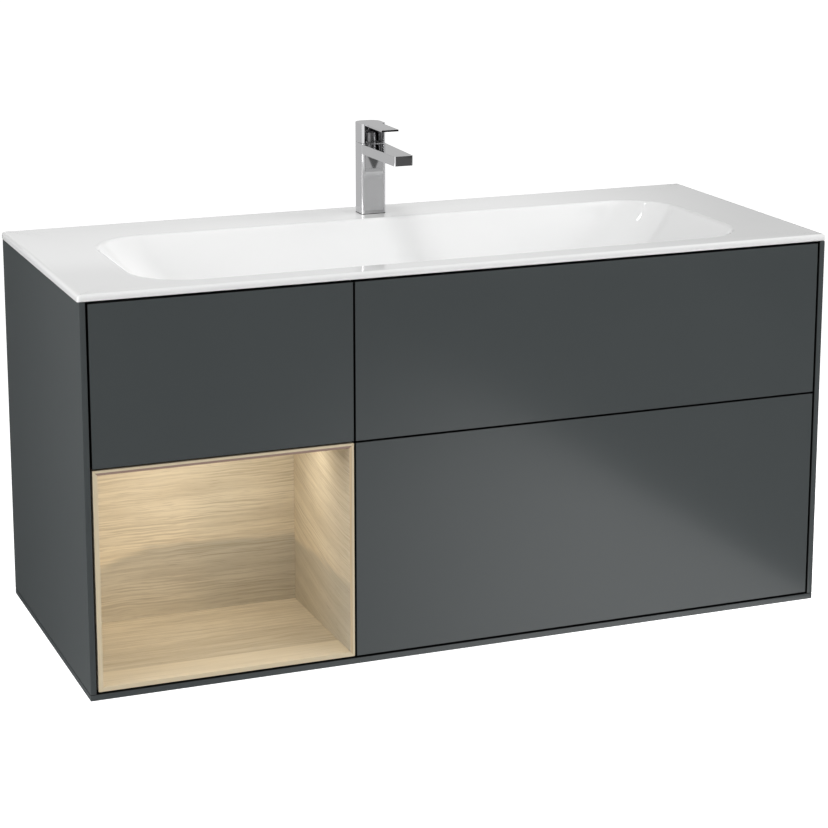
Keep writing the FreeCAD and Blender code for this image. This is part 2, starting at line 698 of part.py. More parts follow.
def push_latch(face_x, inward, box_top_z):
    """Housing on a carcass face, and its plunger behind the drawer side."""
    centre_z = box_top_z - latch_drop
    housing = facing(face_x, inward, 0, latch_width, latch_front_y, rail_front_y,
                     centre_z - latch_height / 2, centre_z + latch_height / 2)
    axis_x = face_x + inward * (runner_layers()[2] + drawer_side_thickness / 2)
    plunger = rod(plunger_radius, Vector(axis_x, plunger_tip_y, centre_z), plunger_length, Y_AXIS)
    bore_depth = plunger_length - plunger_proud + push_travel + play
    bore = rod(plunger_radius + play, Vector(axis_x, latch_front_y, centre_z), bore_depth, Y_AXIS)
    return housing.cut(bore), plunger


def plain_drawer(name, faces, box_z, box_top_z):
    """Sides, bottom and back of a drawer with nothing standing in it."""
    inset = runner_layers()[2] + drawer_side_thickness
    x = (faces[0] + inset, faces[1] - inset)
    bottom_z = box_z + drawer_bottom_lift
    floor_z = bottom_z + drawer_bottom_thickness
    save(name + "_drawer_sides", *drawer_sides(faces, box_z, box_top_z))
    save(name + "_drawer_bottom", box(*x, front_back_y, drawer_rear_y, bottom_z, floor_z))
    save(name + "_drawer_back", box(*x, drawer_rear_y - drawer_back_thickness, drawer_rear_y,
                                    floor_z, box_top_z))


def trap_drawer(name, faces, box_z, box_top_z):
    """Sides and bottom of the drawer around the trap, and a back that is folded round it."""
    inset = runner_layers()[2] + drawer_side_thickness
    x = (faces[0] + inset, faces[1] - inset)
    bottom_z = box_z + drawer_bottom_lift
    floor_z = bottom_z + drawer_bottom_thickness
    notch = trap_notch_half_width
    wall = notch + trap_surround_wall
    back_y = drawer_rear_y - drawer_back_thickness
    save(name + "_drawer_sides", *drawer_sides(faces, box_z, box_top_z))
    bottom = box(*x, front_back_y, drawer_rear_y, bottom_z, floor_z)
    save(name + "_drawer_bottom", bottom.cut(box(-notch, notch, trap_notch_front_y, drawer_rear_y,
                                                 bottom_z, floor_z)))
    surround = box(-wall, wall, trap_notch_front_y - trap_surround_wall, drawer_rear_y, floor_z, box_top_z)
    back = box(*x, back_y, drawer_rear_y, floor_z, box_top_z).fuse(surround).removeSplitter()
    save(name + "_drawer_back", back.cut(box(-notch, notch, trap_notch_front_y, drawer_rear_y,
                                             floor_z, box_top_z)))


def drawers():
    """Three drawers with their fronts, runners and push latches."""
    left_faces = (-side_face_x, partition_left_x)
    right_faces = (partition_right_x, side_face_x)
    save("upper_left_drawer_front", box(-front_edge_x, column_left_x, front_y, front_back_y,
                                        row_high_z, upper_front_z))
    save("upper_right_drawer_front", box(column_right_x, front_edge_x, front_y, front_back_y,
                                         row_high_z, upper_front_z))
    save("lower_right_drawer_front", box(column_right_x, front_edge_x, front_y, front_back_y,
                                         lower_front_z, row_low_z))
    plain_drawer("upper_left", left_faces, upper_box_z, upper_box_top_z)
    trap_drawer("upper_right", right_faces, upper_box_z, upper_box_top_z)
    plain_drawer("lower_right", right_faces, lower_box_z, lower_box_top_z)
    all_rails = []
    housings = []
    places = (("upper_left", left_faces, upper_box_z, upper_box_top_z, -side_face_x, 1),
              ("upper_right", right_faces, upper_box_z, upper_box_top_z, side_face_x, -1),
              ("lower_right", right_faces, lower_box_z, lower_box_top_z, side_face_x, -1))
    for name, faces, box_z, box_top_z, latch_face, inward in places:
        rails, middles = runner_pair(faces, box_z)
        all_rails += rails
        save(name + "_runner_middles", *middles)
        housing, plunger = push_latch(latch_face, inward, box_top_z)
        housings.append(housing)
        save(name + "_push_plunger", plunger)
    save("runner_rails", *all_rails)
    save("push_latch_housings", *housings)


os.makedirs("parts", exist_ok=True)
carcass()
niche()
basin()
waste()
trap()
tap()
tap_lever()
hangers()
drawers()
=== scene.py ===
import json
import math

import bmesh
import bpy
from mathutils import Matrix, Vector

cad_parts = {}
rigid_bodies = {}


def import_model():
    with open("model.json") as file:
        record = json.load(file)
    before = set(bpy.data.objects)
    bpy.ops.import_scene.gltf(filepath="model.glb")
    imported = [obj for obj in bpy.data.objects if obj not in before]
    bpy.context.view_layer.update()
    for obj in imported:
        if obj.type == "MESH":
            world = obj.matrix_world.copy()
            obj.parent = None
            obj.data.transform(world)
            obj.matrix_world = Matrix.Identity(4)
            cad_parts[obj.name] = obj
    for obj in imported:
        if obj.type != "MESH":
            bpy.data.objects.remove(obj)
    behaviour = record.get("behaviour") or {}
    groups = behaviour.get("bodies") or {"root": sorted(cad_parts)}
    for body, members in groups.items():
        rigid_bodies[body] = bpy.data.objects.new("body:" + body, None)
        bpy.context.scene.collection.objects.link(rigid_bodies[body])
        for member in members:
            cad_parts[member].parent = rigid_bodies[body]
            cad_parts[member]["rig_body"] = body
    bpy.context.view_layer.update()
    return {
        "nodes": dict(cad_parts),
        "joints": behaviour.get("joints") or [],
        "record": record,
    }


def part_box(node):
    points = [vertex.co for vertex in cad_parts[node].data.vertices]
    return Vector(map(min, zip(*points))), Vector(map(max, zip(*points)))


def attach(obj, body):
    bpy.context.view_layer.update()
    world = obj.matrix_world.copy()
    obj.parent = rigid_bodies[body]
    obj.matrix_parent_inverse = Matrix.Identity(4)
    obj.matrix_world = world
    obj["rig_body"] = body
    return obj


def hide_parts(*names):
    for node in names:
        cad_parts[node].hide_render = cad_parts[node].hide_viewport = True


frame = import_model()

# Wall-hung vanity unit in metres. X runs to the right, Y to the back, Z up; the wall is at y = 0.

# Washbasin: the bowl is set out from the edges of the slab
bowl_end_margin = 0.111
bowl_back_margin = 0.118
bowl_front_margin = 0.048
bowl_end_run = 0.110
bowl_back_run = 0.075
bowl_front_run = 0.030
bowl_rim_corner = 0.085
bowl_floor_corner = 0.055
bowl_rim_flare = 0.008
bowl_rim_drop = 0.006
bowl_rim_turn = math.radians(50)
bowl_depth = 0.090
bowl_wall = 0.010
bowl_floor_thickness = 0.012
bowl_slope_share = 0.55
slab_thickness = 0.011
slab_corner_radius = 0.005
slab_edge_round = 0.0055
slab_foot_round = 0.0006
slab_relief_height = 0.0011
slab_relief_depth = 0.004
waste_hole_radius = 0.023
tap_hole_radius = 0.0175
rim_steps = 6
wall_steps = 26
edge_steps = 5
corner_steps = 18

# Tap
tap_front_corner = 0.0065
tap_rear_corner = 0.017
tap_edge_round = 0.0011
spout_tip_width = 0.032
spout_root_width = 0.0424
spout_height = 0.016
spout_corner_radius = 0.003
spout_top_step = 0.001
aerator_setback = 0.014
aerator_radius = 0.010
aerator_depth = 0.007
cartridge_radius = 0.017
cartridge_bore_depth = 0.038
shank_bore_radius = 0.01405
shank_bore_depth = 0.018
lever_plate_width = 0.029
lever_plate_thickness = 0.003
lever_hollow_half_width = 0.0122
lever_arch_cover = 0.0055
lever_mouth_half_width = 0.0165
lever_mouth_cover = 0.0040
lever_mouth_depth = 0.008
lever_rear_wall = 0.0035
lever_relief_angle = math.radians(23)
lever_edge_round = 0.0005
overrun = 0.004

# Waste plug
plug_thickness = 0.005
plug_rim_round = 0.0015
plug_stem_radius = 0.005
plug_stem_lead = 0.001
dome_steps = 10

# Edges of the boards and fittings that come straight from the frame
board_edge_round = 0.0005
cover_edge_round = 0.0010
veneer_edge_round = 0.0004
fitting_edge_round = 0.0004
bevel_angle = math.radians(35)
merge_distance = 1e-6

# Lacquer: the faces that look into the joints are painted near black, a painted shade for the shadow in the
# joints
slate_shades = ((0.057, 0.0655, 0.0675), (0.063, 0.0715, 0.0735))
joint_painted_shade = (0.007, 0.0075, 0.0075)
joint_turn = (0.15, 0.45)

# Oak shades, from the palest wood to the pores, and those of the front edges
oak_shades = ((0.76, 0.660, 0.490), (0.66, 0.565, 0.410), (0.55, 0.458, 0.325), (0.37, 0.290, 0.200))
oak_edge_shades = ((0.70, 0.600, 0.420), (0.62, 0.520, 0.355))
oak_edge_depth = (0.0002, 0.0005)
oak_inner_band = (0.57, 0.44, 0.275)
oak_outer_band = 0.0034
oak_outer_band_edge = 0.0004
# painted shade: a dark line along the lower front edge of the niche top, the shadow under it
oak_arris_painted_shade = (0.30, 0.205, 0.165)
oak_arris_height = 0.0038
oak_arris_edge = 0.0005

# Oak grain: the noise levels between which each layer comes in, and its strength
oak_grain_wander = 0.016
oak_cathedral_rise = 0.36
oak_cathedral_bend = 0.62
band_span = (0.34, 0.66)
streak_span = (0.42, 0.64)
streak_strength = 0.62
patch_span = (0.40, 0.60)
patch_least = 0.2
brown_line_span = (0.50, 0.66)
brown_line_strength = 0.85
pale_line_span = (0.34, 0.50)
pale_line_strength = 0.80
pore_span = (0.56, 0.72)
pore_strength = 0.46
streak_relief = 0.4
pore_relief = 0.6

# Oak walls in two leaves: the lower one is darker below a seam that frays along the grain
oak_leaf_height = 0.113
oak_right_leaf_drop = 0.009
oak_right_leaf_calm = 0.7
oak_lower_leaf = (0.70, 0.722, 0.76)
oak_seam_half_width = 0.008
oak_seam_wander = 0.024
oak_seam_fray = 0.030
oak_seam_dip = 0.026
oak_seam_dip_span = (0.06, 0.165)
# painted light: the walls are lifted paler towards the foot, more on the left, to even out how the strip
# lamp's light falls
oak_foot_painted_light = (1.52, 1.52, 1.52)
oak_foot_lift_rise = 0.077
oak_foot_lift_loss = 0.5

# Oak tones over the panels' faces, partly painted light and shade: spans run from the back panel's left end
# or from the front
# painted shade: the back panel darker towards its right end, in the corner by the right wall
oak_right_painted_shade = (0.905, 0.915, 0.92)
oak_right_span = (0.19, 0.27)
# painted shade: the right panel's oak is set darker overall than the back panel's
oak_right_tone = 0.95
# painted shade: the right panel darker towards its front edge, out of the lamp's light
oak_near_painted_shade = (0.76, 0.76, 0.77)
oak_near_span = (0.01, 0.16)
oak_floor_tone = 0.74
oak_floor_lift = (1.24, 1.25, 1.27)
oak_floor_lift_start = 0.08
# painted light: a pale strip along the front of the floor where outside light falls
oak_floor_strip = 0.055
oak_floor_strip_edge = 0.002
oak_floor_painted_light_strength = 0.5

# Lit strip: the length at each end that gives no light, and its lamp
niche_light_end = 0.035
niche_light_gap = 0.004
niche_light_tint = (1.0, 0.96, 0.88)
niche_light_power = 0.47

# Stage
floor_shade = (0.85, 0.85, 0.85)
floor_level = -0.30
floor_half_size = 30.0
floor_thickness = 0.02
ambient = 0.44
floor_lift = 0.72
floor_bounce = 0.12
floor_card_gap = 0.002
unit_middle = (0, -0.25, 0.45)
flag_height = 1.9
camera_place = (-1.3689, -3.7166, 1.3364)
camera_yaw = 0.3758
camera_pitch = 0.2182
camera_lens = 104.97
camera_sensor = 36.0
camera_shift = (0.0024, -0.15)


class Wire:
    """An output socket of a finish, on which Python arithmetic adds Math nodes."""

    def __init__(self, finish, socket):
        self.finish = finish
        self.socket = socket

    def math(self, operation, first, second):
        return self.finish.node("Math", {"operation": operation}, {0: first, 1: second})

    def __add__(self, other):
        return self.math("ADD", self, other)

    def __radd__(self, other):
        return self.math("ADD", other, self)

    def __sub__(self, other):
        return self.math("SUBTRACT", self, other)

    def __rsub__(self, other):
        return self.math("SUBTRACT", other, self)

    def __mul__(self, other):
        return self.math("MULTIPLY", self, other)

    def __rmul__(self, other):
        return self.math("MULTIPLY", other, self)


class Finish:
    """A node tree being written: every node of it comes from one method."""

    def __init__(self, owner):
        owner.use_nodes = True
        self.owner = owner
        self.tree = owner.node_tree
        self.tree.nodes.clear()

    def node(self, kind, settings=None, sockets=None, output=0):
        made = self.tree.nodes.new("ShaderNode" + kind)
        for name, value in (settings or {}).items():
            setattr(made, name, value)
        for name, value in (sockets or {}).items():
            if isinstance(value, Wire):
                self.tree.links.new(value.socket, made.inputs[name])
            else:
                made.inputs[name].default_value = value
        return Wire(self, made.outputs[output]) if made.outputs else None

    def place(self):
        """Where a point of the piece lies in the frame at rest."""
        return self.node("TexCoord", output="Object")

    def split(self, vector):
        return [self.node("SeparateXYZ", sockets={"Vector": vector}, output=axis) for axis in "XYZ"]

    def axes(self):
        return self.split(self.place())

    def facing(self):
        """Which way the surface looks, in the frame at rest."""
        return self.split(self.node("TexCoord", output="Normal"))

    def at(self, x, y, z):
        return self.node("CombineXYZ", sockets={"X": x, "Y": y, "Z": z})

    def noise(self, vector, scale, detail=2.0, roughness=0.5):
        return self.node("TexNoise", sockets={"Vector": vector, "Scale": scale, "Detail": detail,
                                              "Roughness": roughness})

    def step(self, value, low, high):
        """0 below low, 1 above high, smooth between them."""
        return self.node("MapRange", {"interpolation_type": "SMOOTHSTEP"},
                         {"Value": value, "From Min": low, "From Max": high})

    def blend(self, factor, first, second):
        return self.node("Mix", {"data_type": "RGBA"}, {0: factor, 6: first, 7: second}, output=2)

    def stain(self, factor, colour, shade):
        """Colour multiplied by a shade, as far as the factor says."""
        return self.node("Mix", {"data_type": "RGBA", "blend_type": "MULTIPLY"},
                         {0: factor, 6: colour, 7: tint(*shade)}, output=2)

    def bump(self, height, strength, distance):
        return self.node("Bump", sockets={"Height": height, "Strength": strength, "Distance": distance})

    def surface(self, sockets):
        shader = self.node("BsdfPrincipled", sockets=sockets)
        self.node("OutputMaterial", sockets={"Surface": shader})
        return self.owner


def new_finish(name):
    return Finish(bpy.data.materials.new(name))


def tint(red, green, blue):
    return (red, green, blue, 1.0)


def slate_lacquer(name, into_joint):
    """Satin lacquer: a calm grey-green with a faint cloud and a fine spray texture.

    Faces that look into a joint, as into_joint tells from their direction, are dull and painted near black:
    painted shade for the shadow in the joint."""
    finish = new_finish(name)
    place = finish.place()
    cloud = finish.noise(place, scale=4.0, detail=3.0)
    spray = finish.noise(place, scale=900.0, detail=1.0)
    colour = finish.blend(cloud, *(tint(*shade) for shade in slate_shades))
    # painted shade: faces turned into a joint are darkened near black and lose their coat
    inner = finish.step(into_joint(*finish.facing()), *joint_turn)
    colour = finish.blend(inner, colour, tint(*joint_painted_shade))
    return finish.surface({"Base Color": colour, "Roughness": 0.46 + 0.08 * cloud,
                           "Specular IOR Level": 0.1, "Coat Weight": (0.5 + 0.1 * spray) * (1.0 - inner),
                           "Coat Roughness": 0.13,
                           "Normal": finish.bump(spray, strength=0.05, distance=0.0003)})


def lacquered_boards():
    """Lacquer of each front and cover, with its own faces in the joints painted near black as shade."""
    front = slate_lacquer("slate_front", lambda x, y, z: 1.0 - y * y)
    return {"upper_left_drawer_front": front,
            "upper_right_drawer_front": front,
            "lower_right_drawer_front": front,
            "left_cover_panel": slate_lacquer("slate_left", lambda x, y, z: x),
            "right_cover_panel": slate_lacquer("slate_right", lambda x, y, z: 0.0 - x),
            "base_cover_panel": slate_lacquer("slate_base", lambda x, y, z: z)}


def dark_board(name, deep, pale):
    """Melamine faced board with a fine pressed grain along its length."""
    finish = new_finish(name)
    x, y, z = finish.axes()
    grain = finish.noise(finish.at(x * 30.0, y * 30.0, z * 400.0), scale=1.0, detail=3.0)
    speck = finish.noise(finish.place(), scale=1400.0, detail=1.0)
    colour = finish.blend(grain, tint(*deep), tint(*pale))
    return finish.surface({"Base Color": colour, "Roughness": 0.52 + 0.16 * speck,
                           "Normal": finish.bump(grain, strength=0.08, distance=0.0004)})


def oak_veneer(name, along_axis, across_of, tone=1.0, leaf=None, calm=0.0, front=None, near_shade=None,
               floor_back=None, band_from=None, arris=None):
    """Light oak: broad bands, streaks, fine lines and short pores along the grain.

    A wall has a darker leaf below the height leaf, where calm quietens its grain. Where front is given,
    near_shade darkens the face towards it as painted shade and the front edge is banded. The floor is paler
    towards floor_back and has a strip of painted light in front."""
    pale, plain, brown, dark = (tint(*[tone * part for part in shade]) for shade in oak_shades)
    finish = new_finish(name)
    x, y, z = finish.axes()
    along = {"x": x, "y": y}[along_axis]
    wander = finish.noise(finish.place(), scale=6.0, detail=3.0)
    across = across_of(x, y, z) + oak_grain_wander * wander

    def grain(along_scale, across_scale, seed, detail, roughness=0.5):
        return finish.noise(finish.at(along * along_scale, across * across_scale, seed),
                            1.0, detail, roughness)

    band = grain(2.0, 34.0, seed=0.0, detail=3.0)
    streak = grain(6.5, 165.0, seed=3.0, detail=4.0, roughness=0.64)
    patch = grain(4.0, 26.0, seed=5.0, detail=1.0)
    line = grain(9.0, 400.0, seed=11.0, detail=1.0)
    pores = finish.step(grain(26.0, 800.0, seed=7.0, detail=2.0), *pore_span)
    streaks = finish.step(streak, *streak_span)
    lined = patch_least + (1 - patch_least) * finish.step(patch, *patch_span)
    lower = None if leaf is None else oak_lower_share(finish, x, z, leaf, wander, streak)
    if calm:
        quiet = 1.0 - calm * lower
        streaks = streaks * quiet
        lined = lined * quiet
    colour = finish.blend(finish.step(band, *band_span), plain, pale)
    colour = finish.blend(streak_strength * streaks, colour, brown)
    colour = finish.blend(brown_line_strength * lined * finish.step(line, *brown_line_span), colour, brown)
    pale_lines = lined * (1.0 - finish.step(line, *pale_line_span))
    colour = finish.blend(pale_line_strength * pale_lines, colour, pale)
    colour = finish.blend(pore_strength * pores, colour, dark)
    if leaf is not None:
        colour = oak_leaves(finish, x, z, colour, leaf, lower)
    if floor_back is not None:
        colour = oak_floor_face(finish, y, colour, front, floor_back)
    # painted shade towards the front of the face
    if near_shade is not None:
        near = 1.0 - finish.step(y, *(front + depth for depth in oak_near_span))
        colour = finish.stain(near, colour, near_shade)
    if front is not None:
        banded = oak_front_edge(finish, x, z, band, band_from, arris)
        at_front = 1.0 - finish.step(y, *(front + depth for depth in oak_edge_depth))
        colour = finish.blend(at_front, colour, banded)
    relief = streak * streak_relief - pores * pore_relief
    return finish.surface({"Base Color": colour, "Roughness": 0.50 + 0.2 * streak,
                           "Specular IOR Level": 0.35,
                           "Normal": finish.bump(relief, strength=0.22, distance=0.0003)})


def oak_lower_share(finish, x, z, leaf, wander, streak):
    """1 on the lower leaf, 0 on the upper one; the seam dips towards the left end."""
    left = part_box("niche_back_panel")[0].x
    dip = oak_seam_dip * (1.0 - finish.step(x, *(left + part for part in oak_seam_dip_span)))
    seam = z + dip + oak_seam_wander * wander + oak_seam_fray * streak
    middle = leaf + (oak_seam_wander + oak_seam_fray) / 2
    return 1.0 - finish.step(seam, middle - oak_seam_half_width, middle + oak_seam_half_width)


def oak_leaves(finish, x, z, colour, leaf, lower):
    """Walls painted paler towards the foot, more so on the left, as painted light, with the lower leaf
    stained darker and painted shade towards the right end.
    """
    low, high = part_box("niche_back_panel")
    # painted light towards the foot of the walls
    foot = 1.0 - finish.step(z, leaf - oak_leaf_height, leaf + oak_foot_lift_rise)
    share = 1.0 - oak_foot_lift_loss * finish.step(x, low.x, high.x)
    colour = finish.stain(share * foot, colour, oak_foot_painted_light)
    colour = finish.stain(lower, colour, oak_lower_leaf)
    # painted shade towards the right end
    right = finish.step(x, *(low.x + part for part in oak_right_span))
    return finish.stain(right, colour, oak_right_painted_shade)


def oak_floor_face(finish, y, colour, front, back):
    """Floor that is paler towards the back, with a pale strip of painted light along the front."""
    colour = finish.stain(finish.step(y, front + oak_floor_lift_start, back), colour, oak_floor_lift)
    strip_back = front + oak_floor_strip
    # painted light along the front of the floor
    near = 1.0 - finish.step(y, strip_back, strip_back + oak_floor_strip_edge)
    return finish.blend(oak_floor_painted_light_strength * near, colour, tint(*oak_shades[0]))


def oak_front_edge(finish, x, z, band, band_from, arris):
    """Edge band, of a warmer oak inside band_from, over a dark line of painted shade at the height arris.
    """
    banded = finish.blend(band, *(tint(*shade) for shade in oak_edge_shades))
    if band_from is not None:
        outer = finish.step(x, band_from, band_from + oak_outer_band_edge)
        banded = finish.blend(outer, tint(*oak_inner_band), banded)
    # painted shade along the lower arris of the edge
    if arris is not None:
        arris_top = arris + oak_arris_height
        below = 1.0 - finish.step(z, arris_top - oak_arris_edge, arris_top)
        banded = finish.blend(below, banded, tint(*oak_arris_painted_shade))
    return banded


def glazed_ceramic():
    """White glaze: very smooth, with the faintest waviness of a fired surface."""
    finish = new_finish("glazed_ceramic")
    place = finish.place()
    cloud = finish.noise(place, scale=5.0)
    wave = finish.noise(place, scale=22.0, detail=1.0)
    colour = finish.blend(cloud, tint(0.86, 0.865, 0.865), tint(0.88, 0.88, 0.875))
    return finish.surface({"Base Color": colour, "Roughness": 0.04 + 0.02 * cloud,
                           "Normal": finish.bump(wave, strength=0.02, distance=0.002)})


def metal(name, deep, pale, roughness, stretch, scale, relief, spread=0.08):
    """Bare or plated metal whose tone and gloss follow a stretched noise."""
    finish = new_finish(name)
    place = finish.node("VectorMath", {"operation": "MULTIPLY"}, {0: finish.place(), 1: stretch})
    mark = finish.noise(place, scale, detail=3.0)
    colour = finish.blend(mark, tint(*deep), tint(*pale))
    return finish.surface({"Base Color": colour, "Metallic": 1.0, "Roughness": roughness + spread * mark,
                           "Normal": finish.bump(mark, strength=relief, distance=0.0002)})


def zinc_steel():
    """Zinc plating with its soft crystal spangle."""
    finish = new_finish("zinc_steel")
    spangle = finish.node("TexVoronoi", sockets={"Vector": finish.place(), "Scale": 260.0}, output="Color")
    shade = finish.node("SeparateXYZ", sockets={"Vector": spangle}, output="X")
    colour = finish.blend(shade, tint(0.47, 0.48, 0.50), tint(0.58, 0.585, 0.59))
    return finish.surface({"Base Color": colour, "Metallic": 1.0, "Roughness": 0.30 + 0.16 * shade})


def moulded(name, deep, pale, roughness, grain):
    """Moulded plastic or rubber with a fine grained skin."""
    finish = new_finish(name)
    place = finish.place()
    pebble = finish.noise(place, scale=grain)
    cloud = finish.noise(place, scale=18.0)
    colour = finish.blend(cloud, tint(*deep), tint(*pale))
    return finish.surface({"Base Color": colour, "Roughness": roughness + 0.12 * pebble,
                           "Normal": finish.bump(pebble, strength=0.18, distance=0.0003)})


def powder_coat():
    """Matt powder coat on the drawer metal, finely pebbled."""
    finish = new_finish("drawer_metal")
    place = finish.place()
    pebble = finish.noise(place, scale=1600.0, detail=1.0)
    cloud = finish.noise(place, scale=7.0)
    colour = finish.blend(cloud, tint(0.088, 0.093, 0.098), tint(0.108, 0.113, 0.118))
    return finish.surface({"Base Color": colour, "Roughness": 0.50 + 0.14 * pebble,
                           "Normal": finish.bump(pebble, strength=0.14, distance=0.0003)})


def light_diffuser():
    """Opal strip that glows warm, a little brighter along its middle line."""
    finish = new_finish("light_diffuser")
    across = finish.axes()[1]
    low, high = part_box("led_diffuser")
    half = (high.y - low.y) / 2
    offset = (across - (low.y + half)) * (1 / half)
    middle = 1.0 - finish.step(offset * offset, 0.0, 1.0)
    glow = finish.blend(middle, tint(1.0, 0.84, 0.60), tint(1.0, 0.92, 0.76))
    return finish.surface({"Base Color": tint(0.92, 0.90, 0.84), "Roughness": 0.35,
                           "Emission Color": glow, "Emission Strength": 1.1})


def outline(x_low, x_high, y_low, y_high, radius, z, front_radius=None):
    """Level ring of a rectangle with round corners; every ring has the same count of points."""
    middle = Vector(((x_low + x_high) / 2, (y_low + y_high) / 2, z))
    corners = ((x_high, y_high), (x_low, y_high), (x_low, y_low), (x_high, y_low))
    points = []
    for turn, (x, y) in enumerate(corners):
        bend = radius if front_radius is None or y == y_high else front_radius
        centre = Vector((x - math.copysign(bend, x - middle.x), y - math.copysign(bend, y - middle.y), z))
        for step in range(corner_steps + 1):
            angle = (turn + step / corner_steps) * math.pi / 2
            points.append(centre + Vector((bend * math.cos(angle), bend * math.sin(angle), 0)))
    return points


def circle(x, y, radius, z):
    return outline(x - radius, x + radius, y - radius, y + radius, radius, z)


def skin(name, rings, caps=True):
    """Closed mesh through rings of points: capped at both ends, or joined end to start."""
    grid = bmesh.new()
    loops = [[grid.verts.new(point) for point in ring] for ring in rings]
    pairs = list(zip(loops, loops[1:]))
    if caps:
        grid.faces.new(loops[0])
        grid.faces.new(loops[-1])
    else:
        pairs.append((loops[-1], loops[0]))
    for here, after in pairs:
        for first in range(len(here)):
            second = (first + 1) % len(here)
            grid.faces.new((here[first], here[second], after[second], after[first]))
    bmesh.ops.remove_doubles(grid, verts=grid.verts, dist=merge_distance)
    bmesh.ops.recalc_face_normals(grid, faces=grid.faces)
    mesh = bpy.data.meshes.new(name)
    grid.to_mesh(mesh)
    grid.free()
    made = bpy.data.objects.new(name, mesh)
    bpy.context.scene.collection.objects.link(made)
    return made


def prism(name, points, sweep):
    """Closed mesh of a flat outline swept along a vector."""
    return skin(name, [points, [point + sweep for point in points]])


def block(name, x, y, z):
    corners = [Vector((x[0], y[0], z[0])), Vector((x[1], y[0], z[0])),
               Vector((x[1], y[1], z[0])), Vector((x[0], y[1], z[0]))]
    return prism(name, corners, Vector((0, 0, z[1] - z[0])))


def carve(target, tool, operation):
    """Join a tool shape to a piece, or cut it out of the piece, for good."""
    modifier = target.modifiers.new("carve", "BOOLEAN")
    modifier.object = tool
    modifier.operation = operation
    modifier.solver = "EXACT"
    bpy.context.view_layer.update()
    carved = bpy.data.meshes.new_from_object(target.evaluated_get(bpy.context.evaluated_depsgraph_get()))
    target.modifiers.clear()
    target.data = carved
    bpy.data.objects.remove(tool)


def even_normals(piece):
    """Shading that follows the large faces."""
    even = piece.modifiers.new("even", "WEIGHTED_NORMAL")
    even.keep_sharp = False


def soften(piece, width, segments=2):
    """Small round edges that catch the light, with the flat faces kept flat."""
    weld = piece.modifiers.new("weld", "WELD")
    weld.merge_threshold = merge_distance
    bevel = piece.modifiers.new("edge", "BEVEL")
    bevel.width = width
    bevel.segments = segments
    bevel.limit_method = "ANGLE"
    bevel.angle_limit = bevel_angle
    bevel.use_clamp_overlap = True
    even_normals(piece)


def finish_piece(piece, node, material):
    """Dress a modelled piece, let it stand for its CAD node and ride on that node's body."""
    for polygon in piece.data.polygons:
        polygon.use_smooth = True
    piece.data.materials.clear()
    piece.data.materials.append(material)
    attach(piece, frame["nodes"][node]["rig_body"])
    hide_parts(node)


def bowl_ring(share, grow, z):
    """Level outline of the bowl at a share of its depth, larger than the inside by grow."""
    low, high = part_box("basin")
    inset = bowl_slope_share * share + (1 - bowl_slope_share) * (1 - math.sqrt(1 - share * share))
    half_length = high.x - bowl_end_margin - bowl_end_run * inset + grow
    back = high.y - bowl_back_margin - bowl_back_run * inset + grow
    front = low.y + bowl_front_margin + bowl_front_run * inset - grow
    corner = bowl_rim_corner + (bowl_floor_corner - bowl_rim_corner) * share + grow
    return outline(-half_length, half_length, front, back, corner, z)


def slab_ring(inset, z):
    """Level outline of the slab, set in from its edges."""
    low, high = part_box("basin")
    radius = slab_corner_radius - inset
    return outline(low.x + inset, high.x - inset, low.y + inset, high.y - inset, radius, z)


def basin(material):
    """One skin from the waste hole up the bowl, over the slab and back along the underside."""
    low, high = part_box("basin")
    top = high.z
    waste_y = sum(corner.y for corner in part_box("waste_plug")) / 2
    tap_y = sum(corner.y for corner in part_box("tap_base_seal")) / 2
    wall_height = bowl_depth - bowl_rim_drop
    shares = [math.sin(step / wall_steps * math.pi / 2) for step in range(wall_steps + 1)]
    rings = [circle(0, waste_y, waste_hole_radius, top - bowl_depth)]
    rings += [bowl_ring(share, 0, top - bowl_rim_drop - share * wall_height) for share in reversed(shares)]
    for step in reversed(range(rim_steps)):
        turn = bowl_rim_turn * step / rim_steps
        grow = bowl_rim_flare * (1 - math.sin(turn) / math.sin(bowl_rim_turn))
        drop = bowl_rim_drop * (1 - math.cos(turn)) / (1 - math.cos(bowl_rim_turn))
        rings.append(bowl_ring(0, grow, top - drop))
    for step in range(edge_steps + 1):
        turn = step / edge_steps * math.pi / 2
        rings.append(slab_ring(slab_edge_round * (1 - math.sin(turn)),
                               top - slab_edge_round * (1 - math.cos(turn))))
    slab_low = top - slab_thickness
    foot = slab_ring(0, slab_low + slab_foot_round)
    underside = slab_ring(slab_foot_round, slab_low)
    for lip, heel in zip(foot, underside):
        share = max(0.0, 1 - (lip.y - low.y) / slab_corner_radius)
        lip.z += share * slab_relief_height
        heel.y += share * slab_relief_depth
    rings += [foot, underside]
    rings.append(bowl_ring(0, bowl_wall, slab_low))
    under_top = top - bowl_rim_drop - bowl_floor_thickness
    rings += [bowl_ring(share, bowl_wall, under_top - share * wall_height) for share in shares]
    rings.append(circle(0, waste_y, waste_hole_radius, low.z))
    piece = skin("washbasin", rings, caps=False)
    tool = skin("tap_hole", [circle(0, tap_y, tap_hole_radius, slab_low - overrun),
                             circle(0, tap_y, tap_hole_radius, top + overrun)])
    carve(piece, tool, "DIFFERENCE")
    even_normals(piece)
    finish_piece(piece, "basin", material)


def tap_ring(low, high, inset, z):
    """Level outline of the tap, with close corners in front and wide ones behind."""
    size = high.x - low.x
    return outline(low.x + inset, high.x - inset, high.y - size + inset, high.y - inset,
                   tap_rear_corner - inset, z, front_radius=tap_front_corner - inset)


